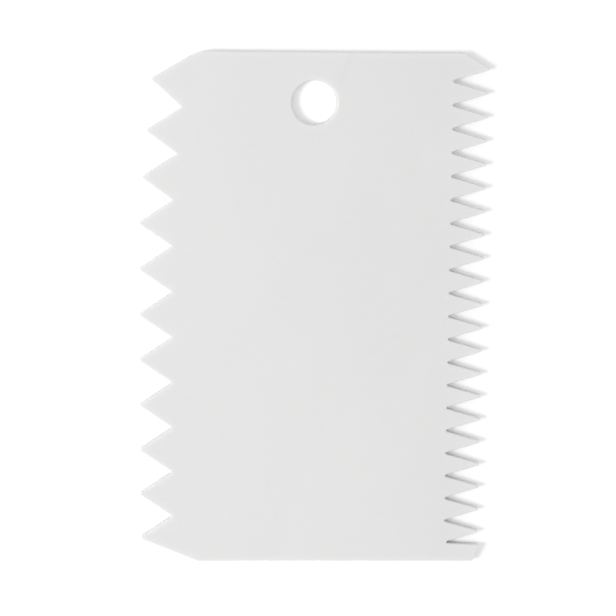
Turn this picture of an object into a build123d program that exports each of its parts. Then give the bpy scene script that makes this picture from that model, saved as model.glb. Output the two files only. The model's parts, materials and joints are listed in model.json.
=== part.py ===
from build123d import *
import math
import os

# A one-piece moulded icing smoother, lying flat with its underside at height zero.
# +Y points to the plain edge by the hanging hole, +X to the fine teeth, +Z up out of the face.
# The origin is the centre of the underside. All lengths are in millimetres.
# The whole outline is cut into one half of the mould and the other half is flat, so the upper
# edges are softened and the edges of the underside, where the halves meet, are left square.

# The plate
plate_length = 110.0        # from one plain smoothing edge to the other
plate_width = 74.0          # over the sharp points that the tooth flanks aim at
plate_thickness = 2.0
edge_break = 0.15           # small bevel all round the outline, on the upper face

# The hanging hole
hole_diameter = 9.2
hole_from_top = 10.6        # hole centre to the upper plain edge
hole_rim_radius = 0.5       # rounding of the hole's rim, on the upper face

# The coarse comb on the -X side
coarse_notch_count = 10
coarse_depth = 7.2          # sharp point to sharp root
coarse_first_root = 11.8    # upper plain edge to the first root
coarse_last_root = 10.0     # lower plain edge to the last root
coarse_end_run = 12.6       # tip line to the end of the plain edge
coarse_first_tip = 5.9      # upper plain edge to the first tip
corner_lean = 3.2           # how far in the tip line would be where it meets the upper plain edge
corner_lean_length = 33.0   # how far down it is straight again
coarse_tip_radius = 0.3
coarse_root_radius = 0.4
shoulder_radius = 10.0      # blend where the first flank meets the upper plain edge

# The fine comb on the +X side
fine_notch_count = 21
fine_depth = 8.5
fine_first_root = 5.9
fine_last_root = 4.1
fine_end_run = 5.6
fine_tip_radius = 0.25
fine_root_radius = 0.25
stub_height = 3.6           # lower plain edge to the corner of the blunt last tooth
stub_lean = 1.7             # how far the end of that tooth slopes back to the plain edge
stub_radius = 0.4

# What the mould leaves on the underside
ejector_diameter = 5.0
ejector_depth = 0.1
ejector_spacing_across = 36.0
ejector_spacing_along = 38.0
ejector_rows = 3
ejector_columns = 2
gate_well_diameter = 4.0
gate_well_depth = 0.3
gate_stub_diameter = 1.2
gate_stub_height = 0.2

top_y = plate_length / 2
bottom_y = -plate_length / 2
coarse_tip_x = -plate_width / 2
fine_tip_x = plate_width / 2

# The notches share out the length between the first root and the last: 9.8 and 5.0 apart.
coarse_run = plate_length - coarse_first_root - coarse_last_root
coarse_pitch = coarse_run / (coarse_notch_count - 1)
fine_run = plate_length - fine_first_root - fine_last_root
fine_pitch = fine_run / (fine_notch_count - 1)


def comb_roots(root_x, first_root_y, pitch, notch_count):
    """The sharp roots of one comb, from the upper plain edge downwards."""
    return [(root_x, first_root_y - pitch * n) for n in range(notch_count)]


def comb_tips(tip_x, first_root_y, pitch, tooth_numbers):
    """The sharp points of its teeth: tooth n stands half a pitch above root n."""
    return [(tip_x, first_root_y - pitch * (n - 1 / 2)) for n in tooth_numbers]


def leaned(places):
    """The same places, set in where the coarse side leans toward its upper corner."""
    share_left = [max(0, 1 - (top_y - y) / corner_lean_length) for x, y in places]
    return [(x + corner_lean * share, y) for (x, y), share in zip(places, share_left)]


def woven(tips, roots):
    """Tips and roots in turn, as one zigzag; a comb that starts with a tip."""
    zigzag = []
    for n, tip in enumerate(tips):
        zigzag.append(tip)
        zigzag.extend(roots[n:n + 1])
    return zigzag


def at_corners(face, places):
    """The corners of a face that lie at these places."""
    return [face.vertices().sort_by_distance(Vector(*place))[0] for place in places]


def plate_outline():
    """The flat outline: two plain edges, two combs, and every point and root rounded."""
    coarse_root_y = top_y - coarse_first_root
    coarse_roots = comb_roots(coarse_tip_x + coarse_depth, coarse_root_y, coarse_pitch, coarse_notch_count)
    coarse_tips = comb_tips(coarse_tip_x, coarse_root_y, coarse_pitch, range(1, coarse_notch_count + 1))
    coarse_tips.insert(0, (coarse_tip_x, top_y - coarse_first_tip))
    coarse_roots = leaned(coarse_roots)
    coarse_tips = leaned(coarse_tips)

    # The last fine tooth is left blunt, so it has a corner in place of a point.
    fine_root_y = top_y - fine_first_root
    fine_roots = comb_roots(fine_tip_x - fine_depth, fine_root_y, fine_pitch, fine_notch_count)
    fine_tips = comb_tips(fine_tip_x, fine_root_y, fine_pitch, range(fine_notch_count))
    stub_corner = (fine_tip_x, bottom_y + stub_height)
    stub_foot = (fine_tip_x - stub_lean, bottom_y)

    shoulder = (coarse_tip_x + coarse_end_run, top_y)
    heel = (coarse_tip_x + coarse_end_run, bottom_y)
    fine_shoulder = (fine_tip_x - fine_end_run, top_y)

    down_the_fine_side = [fine_shoulder] + woven(fine_tips, fine_roots) + [stub_corner, stub_foot]
    down_the_coarse_side = [shoulder] + woven(coarse_tips, coarse_roots) + [heel]
    face = make_face(Polyline(*down_the_fine_side, *reversed(down_the_coarse_side), close=True))

    face = fillet(at_corners(face, coarse_tips), coarse_tip_radius)
    face = fillet(at_corners(face, coarse_roots), coarse_root_radius)
    face = fillet(at_corners(face, fine_tips), fine_tip_radius)
    face = fillet(at_corners(face, fine_roots), fine_root_radius)
    face = fillet(at_corners(face, [stub_corner, stub_foot, heel]), stub_radius)
    face = fillet(at_corners(face, [shoulder]), shoulder_radius)
    return face


def moulded_plate():
    """The plate with its upper edge broken all the way round, and its hanging hole."""
    plate = extrude(plate_outline(), plate_thickness)
    plate = chamfer(plate.faces().sort_by(Axis.Z)[-1].edges(), edge_break)

    plate -= extrude(Pos(0, top_y - hole_from_top) * Circle(hole_diameter / 2), plate_thickness)
    hole_rim = plate.faces().sort_by(Axis.Z)[-1].inner_wires()[0].edges()
    return fillet(hole_rim, hole_rim_radius)


def mould_marks():
    """The shallow rings of the ejector pins and the gate's well, with its cut stub standing in it."""
    pin_places = GridLocations(
        ejector_spacing_across, ejector_spacing_along, ejector_columns, ejector_rows
    )
    pins = extrude(Sketch() + pin_places * Circle(ejector_diameter / 2), ejector_depth)
    well = extrude(Circle(gate_well_diameter / 2) - Circle(gate_stub_diameter / 2), gate_well_depth)
    stub_top = extrude(Circle(gate_stub_diameter / 2), gate_well_depth - gate_stub_height)
    return pins + well + stub_top


os.makedirs("parts", exist_ok=True)
smoother_plate = moulded_plate() - mould_marks()
export_step(smoother_plate, "parts/smoother_plate.step")

box = smoother_plate.bounding_box()
print("plate, millimetres:", round(box.size.X, 2), round(box.size.Y, 2), round(box.size.Z, 2))
print("volume, cubic millimetres:", round(smoother_plate.volume, 1))
tip_angle = 2 * math.degrees(math.atan(fine_pitch / 2 / fine_depth))
print("angle of a fine tooth, degrees:", round(tip_angle, 1))
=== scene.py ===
# %% [markdown]
# # A white icing smoother, moulded in one piece
# The real object is a flat card of white plastic, about as big as a playing card. Its two short
# edges are plain and smooth icing flat. One long side is a coarse comb, the other a fine one, and
# a round hole at the top hangs it up. There is nothing to assemble: one mould makes all of it.
#
# The imported CAD model comes in first. It fixes where everything is.

# %% Load the frame
import bmesh
import bpy
import json
import math
from mathutils import Matrix, Vector


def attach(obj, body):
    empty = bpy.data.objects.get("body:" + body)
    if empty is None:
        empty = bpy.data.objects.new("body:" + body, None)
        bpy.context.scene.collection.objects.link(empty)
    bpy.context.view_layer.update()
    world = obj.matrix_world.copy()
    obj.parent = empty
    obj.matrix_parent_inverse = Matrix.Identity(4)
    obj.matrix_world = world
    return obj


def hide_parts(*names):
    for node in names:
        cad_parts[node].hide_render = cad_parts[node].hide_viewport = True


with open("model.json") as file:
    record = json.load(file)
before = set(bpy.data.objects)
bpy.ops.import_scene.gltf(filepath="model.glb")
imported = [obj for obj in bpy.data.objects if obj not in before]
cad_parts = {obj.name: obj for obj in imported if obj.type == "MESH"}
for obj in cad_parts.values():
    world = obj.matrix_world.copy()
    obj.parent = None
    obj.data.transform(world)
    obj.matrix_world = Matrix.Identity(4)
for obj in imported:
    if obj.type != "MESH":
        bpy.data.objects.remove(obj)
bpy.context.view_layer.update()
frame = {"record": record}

mounts = {mount["name"]: mount for mount in frame["record"]["mounts"]}
print("mounts:", sorted(mounts))

# %% [markdown]
# ## The sizes
# These are the sizes of the moulding, in millimetres, with the origin in the middle of the
# underside. +Y points to the plain edge by the hole and +X to the fine teeth. Both combs are
# regular, so each needs only its number of notches and where the first and last of them are.

# %% Sizes of the card
MM = 0.001
near = 0.001                 # places closer than this, in millimetres, are one

card_length = 110.0
card_width = 74.0            # over the sharp points that the tooth flanks aim at
card_thickness = 2.0
top_y = card_length / 2
bottom_y = -card_length / 2

hole_radius = mounts["hang_hole"]["dims"]["r_mm"]
hole_y = mounts["hang_hole"]["pos_m"][1] / MM
print("hanging hole:", round(2 * hole_radius, 2), "mm across,", round(top_y - hole_y, 2), "mm from the edge")

# %% Sizes of the two combs
coarse = dict(
    tip_x=-card_width / 2, depth=7.2, notches=10,
    first_root_y=top_y - 11.8, last_root_y=bottom_y + 10.0,
    tip_radius=0.3, root_radius=0.4,
)
fine = dict(
    tip_x=card_width / 2, depth=-8.5, notches=21,
    first_root_y=top_y - 5.9, last_root_y=bottom_y + 4.1,
    tip_radius=0.25, root_radius=0.25,
)
for name, comb in (("coarse", coarse), ("fine", fine)):
    comb["pitch"] = (comb["first_root_y"] - comb["last_root_y"]) / (comb["notches"] - 1)
    print(name, "comb: one notch every", round(comb["pitch"], 2), "mm")

# The plain edges end short of the tip lines, and the last fine tooth is left blunt.
coarse_end_x = coarse["tip_x"] + 12.6
first_tip_y = top_y - 5.9    # the first coarse tooth is short and set in
lean = 3.2                   # how far in the coarse side would be at the upper plain edge
lean_length = 33.0           # how far down it is straight again
fine_end_x = fine["tip_x"] - 5.6
shoulder_radius = 10.0
stub_corner = (fine["tip_x"], bottom_y + 3.6)
stub_foot = (fine["tip_x"] - 1.7, bottom_y)
stub_radius = 0.4
print("plain edges:", round(fine_end_x - coarse_end_x, 1), "and", round(stub_foot[0] - coarse_end_x, 1), "mm")

# %% [markdown]
# ## Drawing the outline
# A comb could be modelled tooth by tooth, but the teeth are all the same, so one notch is drawn as
# two edges, and a spin with no angle and a step down repeats it along the side. A spin that
# duplicates is the mesh tool's way of making a row.

# %% A row of notches
def draw_comb(outline, comb):
    """Two edges, root to tip to root, repeated down one side; returns its first and last root."""
    root_x = comb["tip_x"] + comb["depth"]
    half_step = Vector((0, -comb["pitch"] / 2, 0))
    root = outline.verts.new((root_x, comb["first_root_y"], 0))
    tip = outline.verts.new(Vector((comb["tip_x"], comb["first_root_y"], 0)) + half_step)
    next_root = outline.verts.new(root.co + 2 * half_step)
    tooth = [root, tip, next_root, outline.edges.new((root, tip)), outline.edges.new((tip, next_root))]
    bmesh.ops.spin(
        outline, geom=tooth, cent=(0, 0, 0), axis=(0, 0, 1), angle=0,
        dvec=2 * half_step, steps=comb["notches"] - 2, use_duplicate=True,
    )
    bmesh.ops.remove_doubles(outline, verts=outline.verts, dist=near)
    roots = [v for v in outline.verts if abs(v.co.x - root_x) < near]
    return max(roots, key=lambda v: v.co.y), min(roots, key=lambda v: v.co.y)


outline = bmesh.new()
coarse_top, coarse_bottom = draw_comb(outline, coarse)
fine_top, fine_bottom = draw_comb(outline, fine)
print("combs:", len(outline.verts), "corners")

# %% [markdown]
# The ends of the combs are joined by the plain edges. Each plain edge gets a row of extra corners near
# its ends. They don't bend it, but they are where its rounding will narrow, step by step, to the
# finer rounding of the teeth.

# %% The two plain edges
fade_gap = 3.0               # from the end of a plain edge to where its rounding starts to widen
fade_steps = 6               # one millimetre each


def fade_places(end_x, inward, y):
    """Corners along a plain edge, near its end, between which its rounding will narrow."""
    return [(end_x + inward * (fade_gap + step), y) for step in range(fade_steps + 1)]


def draw_run(outline, start, places, end):
    """Straight edges from one vertex to another by way of new corners; returns all its corners."""
    corners = [start] + [outline.verts.new((x, y, 0)) for x, y in places] + [end]
    for a, b in zip(corners, corners[1:]):
        outline.edges.new((a, b))
    return corners


coarse_half = coarse["pitch"] / 2
fine_half = fine["pitch"] / 2
over_the_top = draw_run(outline, coarse_top, [
    (coarse["tip_x"], first_tip_y), (coarse_end_x, top_y), *fade_places(coarse_end_x, 1, top_y),
    (0, top_y), *reversed(fade_places(fine_end_x, -1, top_y)), (fine_end_x, top_y),
    (fine["tip_x"], fine["first_root_y"] + fine_half),
], fine_top)
under_the_bottom = draw_run(outline, coarse_bottom, [
    (coarse["tip_x"], coarse["last_root_y"] - coarse_half), (coarse_end_x, bottom_y),
    *fade_places(coarse_end_x, 1, bottom_y), (0, bottom_y),
    *reversed(fade_places(stub_foot[0], -1, bottom_y)), stub_foot, stub_corner,
], fine_bottom)
shoulder, heel = over_the_top[2], under_the_bottom[2]
foot, corner = under_the_bottom[-3:-1]
top_middle = next(v for v in over_the_top if v.co.x == 0)
bottom_middle = next(v for v in under_the_bottom if v.co.x == 0)
print("sharp outline:", len(outline.verts), "corners")

# %% [markdown]
# ## Rounding the corners
# No moulded point is truly sharp. A vertex bevel would round each corner as an ellipse, which is
# still sharp on so narrow a tooth, so every corner is cut back to where a circle touches its two
# edges, and one vertex is spun round that circle's centre to draw the arc.

# %% Round one corner of the outline
def round_corner(outline, corner, radius, steps):
    """Swaps a sharp corner for an arc of that radius, drawn by spinning its first vertex."""
    place = corner.co.copy()
    edges = list(corner.link_edges)
    ways = [(edge.other_vert(corner).co - place).normalized() for edge in edges]
    half_angle = ways[0].angle(ways[1]) / 2
    cut_back = radius / math.tan(half_angle)
    touching = []
    for edge in edges:
        _, vert = bmesh.utils.edge_split(edge, corner, cut_back / edge.calc_length())
        touching.append(vert)
    bmesh.ops.delete(outline, geom=[corner], context="VERTS")
    centre = place + (ways[0] + ways[1]).normalized() * radius / math.sin(half_angle)
    turn = ways[1].cross(ways[0]).z
    bmesh.ops.spin(
        outline, geom=[touching[0]], cent=centre, axis=(0, 0, math.copysign(1, turn)),
        angle=math.pi - 2 * half_angle, steps=steps,
    )


# %% Find the tips and the roots, and lean the upper coarse ones in
tips = {"coarse": [], "fine": []}
roots = {"coarse": [], "fine": []}
for name, comb in (("coarse", coarse), ("fine", fine)):
    for vert in outline.verts:
        on_plain_edge = abs(vert.co.y) > top_y - near
        if abs(vert.co.x - comb["tip_x"]) < near and vert is not corner:
            tips[name].append(vert)
        elif abs(vert.co.x - comb["tip_x"] - comb["depth"]) < near and not on_plain_edge:
            roots[name].append(vert)

for vert in tips["coarse"] + roots["coarse"]:
    vert.co.x += lean * max(0, 1 - (top_y - vert.co.y) / lean_length)

# %% Round them all
jobs = [
    (shoulder, shoulder_radius, 10), (heel, stub_radius, 4), (foot, stub_radius, 4), (corner, stub_radius, 5),
]
for name, comb in (("coarse", coarse), ("fine", fine)):
    jobs += [(vert, comb["tip_radius"], 8) for vert in tips[name]]
    jobs += [(vert, comb["root_radius"], 6) for vert in roots[name]]
for vert, radius, steps in jobs:
    round_corner(outline, vert, radius, steps)
bmesh.ops.remove_doubles(outline, verts=outline.verts, dist=2 * near)
print("tips:", len(tips["coarse"]), "coarse and", len(tips["fine"]), "fine; outline now", len(outline.verts))

# %% [markdown]
# ## From outline to plate
# The outline could be filled as one big face, but a face can't have a hole in it. So a line down
# the middle runs round the hanging hole and parts the card into two halves, each one clean face.
# Large whole faces also shade perfectly flat, which a fan of thin triangles doesn't.

# %% Fill the two halves and give them their thickness
hole_steps = 96
hole_rim = bmesh.ops.create_circle(
    outline, cap_ends=False, radius=hole_radius, segments=hole_steps,
    matrix=Matrix.Translation((0, hole_y, 0)),
)["verts"]
middle_line = [
    outline.edges.new((top_middle, max(hole_rim, key=lambda v: v.co.y))),
    outline.edges.new((bottom_middle, min(hole_rim, key=lambda v: v.co.y))),
]
for side in (-1, 1):
    half_edges = [e for e in outline.edges if side * (e.verts[0].co.x + e.verts[1].co.x) > near]
    bmesh.ops.contextual_create(outline, geom=half_edges + middle_line)
bmesh.ops.recalc_face_normals(outline, faces=outline.faces)
print("halves:", len(outline.faces), "of area", [round(f.calc_area()) for f in outline.faces])

# %% Raise it
plate = outline
raised = bmesh.ops.extrude_face_region(plate, geom=plate.faces[:])["geom"]
raised_verts = [item for item in raised if isinstance(item, bmesh.types.BMVert)]
bmesh.ops.translate(plate, verts=raised_verts, vec=(0, 0, card_thickness))
bmesh.ops.recalc_face_normals(plate, faces=plate.faces)
print("closed:", all(len(e.link_faces) == 2 for e in plate.edges), "volume", round(plate.calc_volume(), 1))

# %% [markdown]
# ## The underside
# The mould opens on a flat half, so the lower rim is nearly sharp. Steel pins push the card out and
# leave six shallow discs, and the plastic enters at the middle, where a small well hides the stub
# left when the sprue is broken off. The flat face is filled again round these circles, and each
# one is pushed in by extruding its ring of edges.

# %% Sizes of the mould's marks
pin_radius = 2.5
pin_depth = 0.1
pin_places = [(x, y) for x in (-18.0, 18.0) for y in (-38.0, 0.0, 38.0)]
well_radius = 2.0
well_depth = 0.3
gate_radius = 0.6
gate_height = 0.2
lower_rim = 0.06
level_enough = 0.9           # how upright a face's normal is on the two flat faces
print("ejector marks:", len(pin_places))

# %% Break the lower rim
def rim_edges(plate, height):
    """The edges between a flat face at this height and the walls."""
    level = [e for e in plate.edges if all(abs(v.co.z - height) < near for v in e.verts)]
    return [e for e in level if sum(abs(f.normal.z) > level_enough for f in e.link_faces) == 1]


bmesh.ops.bevel(
    plate, geom=rim_edges(plate, 0), affect="EDGES", offset=lower_rim, offset_type="OFFSET",
    segments=1, profile=0.5, material=-1,
)
print("lower rim:", len(rim_edges(plate, 0)), "edges")

# %% Press the marks into the underside
def ring_at(plate, place, radius, height, steps):
    """A circle of loose edges."""
    made = bmesh.ops.create_circle(
        plate, cap_ends=False, radius=radius, segments=steps,
        matrix=Matrix.Translation((*place, height)),
    )["verts"]
    return list({e for v in made for e in v.link_edges})


def push_ring(plate, ring, rise):
    """Pulls a wall up or down from a ring of edges; returns the ring at its far end."""
    made = bmesh.ops.extrude_edge_only(plate, edges=ring)["geom"]
    far = [item for item in made if isinstance(item, bmesh.types.BMEdge)]
    far_verts = [item for item in made if isinstance(item, bmesh.types.BMVert)]
    bmesh.ops.translate(plate, verts=far_verts, vec=(0, 0, rise))
    return [e for e in far if all(v in far_verts for v in e.verts)]


under_faces = [f for f in plate.faces if f.normal.z < -level_enough]
open_rim = [e for f in under_faces for e in f.edges if any(g not in under_faces for g in e.link_faces)]
bmesh.ops.delete(plate, geom=under_faces, context="FACES_ONLY")
bmesh.ops.delete(plate, geom=[e for e in plate.edges if not e.link_faces], context="EDGES")
open_rim = [e for e in open_rim if e.is_valid]
pin_rings = [ring_at(plate, place, pin_radius, 0, 48) for place in pin_places]
well_ring = ring_at(plate, (0, 0), well_radius, 0, 40)
bmesh.ops.triangle_fill(
    plate, edges=open_rim + well_ring + [e for ring in pin_rings for e in ring],
    use_beauty=True, normal=(0, 0, -1),
)
for ring in pin_rings:
    bmesh.ops.contextual_create(plate, geom=push_ring(plate, ring, pin_depth))
well_floor = push_ring(plate, well_ring, well_depth)
gate_ring = ring_at(plate, (0, 0), gate_radius, well_depth, 20)
bmesh.ops.triangle_fill(plate, edges=well_floor + gate_ring, use_beauty=True, normal=(0, 0, -1))
bmesh.ops.contextual_create(plate, geom=push_ring(plate, gate_ring, -gate_height))
bmesh.ops.recalc_face_normals(plate, faces=plate.faces)
print("closed:", all(len(e.link_faces) == 2 for e in plate.edges), "volume", round(plate.calc_volume(), 1))

# %% [markdown]
# ## Softening the upper edges
# The upper rim is polished round in the mould: widely along the smoothing edges and the hole, and
# only a little on the teeth, which have no room for more. One Bevel modifier does all three, because
# each edge carries its own share of the modifier's width.

# %% Give each upper edge its share of the rounding
widest_round = 0.6
wide_share = 1.0             # the plain edges and the hole
tooth_share = 0.36
sharp_fold = math.radians(30)

share = plate.edges.layers.float.new("bevel_weight_edge")
for edge in rim_edges(plate, card_thickness):
    middle = (edge.verts[0].co + edge.verts[1].co) / 2
    if math.hypot(middle.x, middle.y - hole_y) < hole_radius + near:
        edge[share] = wide_share
    elif abs(middle.y) > top_y - near:
        right_end = fine_end_x if middle.y > 0 else stub_foot[0]
        from_end = min(middle.x - coarse_end_x, right_end - middle.x)
        widening = min(max((from_end - fade_gap) / fade_steps, 0), 1)
        edge[share] = tooth_share + (wide_share - tooth_share) * widening
    else:
        edge[share] = tooth_share

# Folds on the underside stay sharp. Those of the upper face are about to be rounded.
for face in plate.faces:
    face.smooth = True
for edge in plate.edges:
    on_the_underside = max(v.co.z for v in edge.verts) < well_depth + near
    edge.smooth = not (on_the_underside and edge.calc_face_angle(0) > sharp_fold)
bmesh.ops.scale(plate, verts=plate.verts, vec=(MM, MM, MM))

# %% Make it an object and let modifiers round it
card_mesh = bpy.data.meshes.new("moulded_card")
plate.to_mesh(card_mesh)
plate.free()
card = bpy.data.objects.new("moulded_card", card_mesh)
bpy.context.scene.collection.objects.link(card)

round_edges = card.modifiers.new("round_edges", "BEVEL")
round_edges.limit_method = "WEIGHT"
round_edges.width = widest_round * MM
round_edges.segments = 6
round_edges.profile = 0.5
round_edges.use_clamp_overlap = False
flat_faces = card.modifiers.new("flat_faces", "WEIGHTED_NORMAL")
flat_faces.mode = "FACE_AREA"
flat_faces.keep_sharp = True

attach(card, "root")
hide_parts("smoother_plate")
print("card:", len(card_mesh.vertices), "vertices before its edges are rounded")

# %% [markdown]
# ## White plastic
# Moulded white plastic lets light in a little way and gives it back nearby, so the tips of its teeth
# and the walls of its notches never go dark, even on the side away from the lamp. Subsurface
# scattering over about a millimetre, half the thickness of the card, does that. On top there is a
# very fine grain from the steel of the mould, which breaks up the gloss.
#
# Everything reads the object's own coordinates in metres, so the marks stay where they are put.

# %% Helpers for the plastic's nodes
plastic = bpy.data.materials.new("white_moulded_plastic")
plastic.use_nodes = True
nodes = plastic.node_tree.nodes
links = plastic.node_tree.links
shader = nodes["Principled BSDF"]
place = nodes.new("ShaderNodeTexCoord").outputs["Object"]


def calculate(operation, first, second=None, third=None):
    """One Math node; each input is a socket or a number."""
    node = nodes.new("ShaderNodeMath")
    node.operation = operation
    for socket, value in zip(node.inputs, (first, second, third)):
        if isinstance(value, bpy.types.NodeSocket):
            links.new(value, socket)
        elif value is not None:
            socket.default_value = value
    return node.outputs[0]


def spread(value, low, high, to_low, to_high, curve="SMOOTHSTEP"):
    """Map a value from one range to another, held at both ends."""
    node = nodes.new("ShaderNodeMapRange")
    node.interpolation_type = curve
    links.new(value, node.inputs["Value"])
    for name, number in (("From Min", low), ("From Max", high), ("To Min", to_low), ("To Max", to_high)):
        node.inputs[name].default_value = number
    return node.outputs[0]


def noise(vector, size_mm, detail=2.0, stretch=(1, 1, 1), distortion=0.0):
    """Noise whose lumps are about this many millimetres across, drawn out along one axis."""
    scaled = nodes.new("ShaderNodeMapping")
    scaled.inputs["Scale"].default_value = [1 / (size_mm * MM * s) for s in stretch]
    links.new(vector, scaled.inputs["Vector"])
    node = nodes.new("ShaderNodeTexNoise")
    node.inputs["Scale"].default_value = 1.0
    node.inputs["Detail"].default_value = detail
    node.inputs["Distortion"].default_value = distortion
    links.new(scaled.outputs[0], node.inputs["Vector"])
    return node.outputs["Fac"]


def add_up(*terms):
    """The sum of any number of sockets and numbers."""
    total = terms[0]
    for term in terms[1:]:
        total = calculate("ADD", total, term)
    return total


def times(value, factor):
    """A socket times a socket or a number."""
    return calculate("MULTIPLY", value, factor)


parts = nodes.new("ShaderNodeSeparateXYZ")
links.new(place, parts.inputs[0])
across, along = parts.outputs["X"], parts.outputs["Y"]
print("helpers ready:", len(nodes), "nodes so far")

# %% [markdown]
# ### What handling leaves
# The plain edges are dragged over icing and wiped again and again, which polishes them and the tips
# of the teeth. The flat faces pick up fine hairline scuffs, mostly along the card, because it is
# wiped from end to end. They show in the gloss, not in the colour.

# %% Grain, scuffs, polish and flow
grain_mm = 0.32
scuff_width_mm = 0.12
scuff_length_share = 90      # a scuff's length over its width
scuff_patch_mm = 14.0
flow_mm = 26.0
flow_length_share = 1.8
end_polish_mm = 1.2          # how far the polish reaches in from a plain edge
side_polish_from = 33.0      # it covers the outer half of the teeth
side_polish_full = 37.2

grain = noise(place, grain_mm, detail=3.0)
scuff_lines = noise(place, scuff_width_mm, stretch=(1, scuff_length_share, 1), distortion=0.15)
scuff_patches = noise(place, scuff_patch_mm, detail=1.0)
scuffs = times(spread(scuff_lines, 0.66, 0.74, 0, 1), spread(scuff_patches, 0.45, 0.62, 0, 1))

from_middle = calculate("ABSOLUTE", along)
from_axis = calculate("ABSOLUTE", across)
end_polish = spread(from_middle, (top_y - end_polish_mm) * MM, top_y * MM, 0, 1)
side_polish = spread(from_axis, side_polish_from * MM, side_polish_full * MM, 0, 1)
polish = calculate("MAXIMUM", end_polish, side_polish)

flow = noise(place, flow_mm, stretch=(1, flow_length_share, 1), distortion=0.6)
print("grain", grain_mm, "mm, scuffs", scuff_width_mm, "mm wide, flow marks", flow_mm, "mm")

# %% [markdown]
# ### The weld line
# Plastic flowing from the middle parts round the pin that leaves the hanging hole and meets again
# beyond it. Where the two fronts join there is a hair-thin line, from the hole to the plain edge.

# %% A line from the hole to the upper edge
weld_foot = (5.2, 48.0)      # a place on the line, near the hole
weld_slant = 0.36            # sideways for each step toward the edge
weld_core_mm = 0.05
weld_half_width_mm = 0.6
weld_fade_mm = 1.0

up_from_foot = calculate("SUBTRACT", along, weld_foot[1] * MM)
line_x = calculate("MULTIPLY_ADD", up_from_foot, weld_slant, weld_foot[0] * MM)
off_line = calculate("ABSOLUTE", calculate("SUBTRACT", across, line_x))
weld_thin = spread(off_line, weld_core_mm * MM, weld_half_width_mm * MM, 1, 0)
weld_there = spread(along, (weld_foot[1] - weld_fade_mm) * MM, (weld_foot[1] + weld_fade_mm) * MM, 0, 1)
weld = times(weld_thin, weld_there)
print("weld line:", 2 * weld_half_width_mm, "mm wide where it fades out")

# %% [markdown]
# ### Colour
# The plastic is a plain white that sends back about four fifths of the light. Where it flowed unevenly
# it varies a little, and it is a touch darker along the weld line and in the scuffs.

# %% Colour
white_level = 0.792
flow_tint = 0.006
weld_tint = -0.015
scuff_tint = -0.012

shade = add_up(spread(flow, 0.3, 0.7, -flow_tint, flow_tint), times(weld, weld_tint), times(scuffs, scuff_tint))
level = calculate("ADD", shade, white_level)
colour = nodes.new("ShaderNodeCombineColor")
for name, share_of_level in (("Red", 1.0), ("Green", 1.0), ("Blue", 0.998)):
    links.new(times(level, share_of_level), colour.inputs[name])
links.new(colour.outputs[0], shader.inputs["Base Color"])
for socket, value in (
    ("Specular IOR Level", 0.35), ("Subsurface Weight", 0.65),
    ("Subsurface Radius", (1.0, 0.97, 0.94)), ("Subsurface Scale", 0.0012),
):
    shader.inputs[socket].default_value = value
print("white:", white_level)

# %% [markdown]
# ### Gloss and relief
# The grain makes the gloss broad and soft. Polish narrows it and scuffs widen it. The same grain,
# scuffs and weld line also go into the relief, as heights in metres, each far below the thickness of a
# hair, so the surface is felt only where a lamp glances off it.

# %% Gloss and relief
rough_range = (0.38, 0.48)
polish_rough = -0.10
scuff_rough = 0.16
relief_mm = dict(grain=0.022, scuffs=-0.006, weld=-0.004, flow=0.02)

grain_rough = spread(grain, 0.35, 0.65, *rough_range, "LINEAR")
links.new(add_up(grain_rough, times(polish, polish_rough), times(scuffs, scuff_rough)), shader.inputs["Roughness"])

layers = dict(grain=grain, scuffs=scuffs, weld=weld, flow=flow)
bump = nodes.new("ShaderNodeBump")
bump.inputs["Strength"].default_value = 1.0
bump.inputs["Distance"].default_value = 1.0
links.new(add_up(*(times(layers[name], height * MM) for name, height in relief_mm.items())), bump.inputs["Height"])
links.new(bump.outputs[0], shader.inputs["Normal"])
card.data.materials.append(plastic)
print("plastic:", len(nodes), "nodes")

# %% [markdown]
# ## Floor, light and camera
# The card lies on a plain white sheet, as in the photo. The sheet is a pale matt surface that takes
# the card's shadow. A little glow, which only shows where the sheet is seen, brings it up to the
# white of the photo's background without adding any light to the card.
#
# Two thirds of the light comes evenly from a white sky and one third from a soft lamp on the left.
# The lamp stands half way up, so the thin card throws a shadow about as wide as it is thick. In the
# photo that shadow is the grey crescent inside the hole and the grey in the notches.

# %% What only shows where it is seen
def seen_directly():
    """1 for what the camera sees, straight, in gloss or through glass, and 0 for light on its way to the card."""
    ray = nodes.new("ShaderNodeLightPath")
    straight_or_gloss = calculate("MAXIMUM", ray.outputs["Is Camera Ray"], ray.outputs["Is Glossy Ray"])
    return calculate("MAXIMUM", straight_or_gloss, ray.outputs["Is Transmission Ray"])


# %% The sheet
sheet_reach = 3.0            # metres from its middle to its edges
sheet_gap = 0.00002          # keeps it from flickering through the underside
sheet_white = 0.9
sheet_glow = 0.17

floor_mesh = bpy.data.meshes.new("floor")
flat = bmesh.new()
below = Matrix.Translation((0, 0, -sheet_gap))
bmesh.ops.create_grid(flat, x_segments=1, y_segments=1, size=sheet_reach, matrix=below)
flat.to_mesh(floor_mesh)
flat.free()
floor = bpy.data.objects.new("floor", floor_mesh)
bpy.context.scene.collection.objects.link(floor)

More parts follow.
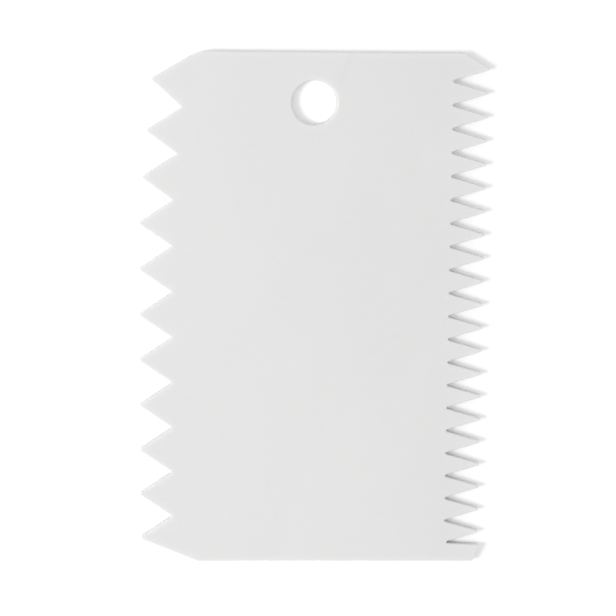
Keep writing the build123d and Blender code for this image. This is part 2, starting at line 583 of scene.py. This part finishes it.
# %% Its paper
paper = bpy.data.materials.new("white_paper")
paper.use_nodes = True
nodes = paper.node_tree.nodes
links = paper.node_tree.links
nodes.clear()
paper_diffuse = nodes.new("ShaderNodeBsdfDiffuse")
paper_diffuse.inputs["Color"].default_value = (sheet_white, sheet_white, sheet_white, 1)
paper_glow = nodes.new("ShaderNodeEmission")
links.new(times(seen_directly(), sheet_glow), paper_glow.inputs["Strength"])
both = nodes.new("ShaderNodeAddShader")
output = nodes.new("ShaderNodeOutputMaterial")
links.new(paper_diffuse.outputs[0], both.inputs[0])
links.new(paper_glow.outputs[0], both.inputs[1])
links.new(both.outputs[0], output.inputs["Surface"])
floor.data.materials.append(paper)
print("sheet:", 2 * sheet_reach, "m across, white", sheet_white)

# %% The sky
sky_light = 0.68

world = bpy.data.worlds.new("studio")
bpy.context.scene.world = world
world.use_nodes = True
nodes = world.node_tree.nodes
links = world.node_tree.links
sky = nodes["Background"]
sky.inputs["Color"].default_value = (1, 1, 1, 1)
strength = nodes.new("ShaderNodeMix")
links.new(seen_directly(), strength.inputs["Factor"])
strength.inputs["A"].default_value = sky_light
strength.inputs["B"].default_value = 1.0
links.new(strength.outputs["Result"], sky.inputs["Strength"])
print("sky: strength", sky_light, "on the card and 1 where it is seen")

# %% The lamp
lamp_distance = 0.9
lamp_height_angle = math.radians(47)
lamp_side_angle = math.radians(189)
lamp = bpy.data.lights.new("softbox", "AREA")
lamp.shape = "DISK"
lamp.size = 0.30
lamp.energy = 3.5
softbox = bpy.data.objects.new("softbox", lamp)
bpy.context.scene.collection.objects.link(softbox)
way = Vector((
    math.cos(lamp_side_angle) * math.cos(lamp_height_angle),
    math.sin(lamp_side_angle) * math.cos(lamp_height_angle), math.sin(lamp_height_angle),
))
softbox.location = way * lamp_distance
softbox.rotation_euler = way.to_track_quat("Z", "Y").to_euler()
print("lamp at", [round(v, 2) for v in softbox.location], "m")

# %% [markdown]
# ## The camera
# It stands where the photo was taken from, worked out from where the notches, the corners and the
# hole fall in the picture: about 43 centimetres away and nearly straight above, a little toward
# the hole. That is why the walls that show are the ones that face the upper edge.

# %% The camera
camera_data = bpy.data.cameras.new("camera")
camera_data.lens = 117
camera_data.sensor_width = 36
camera = bpy.data.objects.new("camera", camera_data)
bpy.context.scene.collection.objects.link(camera)
camera_place = Vector((-15.43, 69.2, 422.8)) * MM
look_way = Vector((0.0339, -0.16035, -0.98648)).normalized()
roll = math.radians(0.553)
right = look_way.cross(Vector((0, 1, 0))).normalized()
up = right.cross(look_way)
turned_right = right * math.cos(roll) + up * math.sin(roll)
turned_up = up * math.cos(roll) - right * math.sin(roll)
axes = Matrix((turned_right, turned_up, -look_way)).transposed().to_4x4()
camera.matrix_world = Matrix.Translation(camera_place) @ axes
bpy.context.scene.camera = camera
bpy.context.scene.view_settings.view_transform = "Standard"
print("camera: tilted", round(math.degrees(look_way.angle(Vector((0, 0, -1)))), 1), "degrees from straight down")
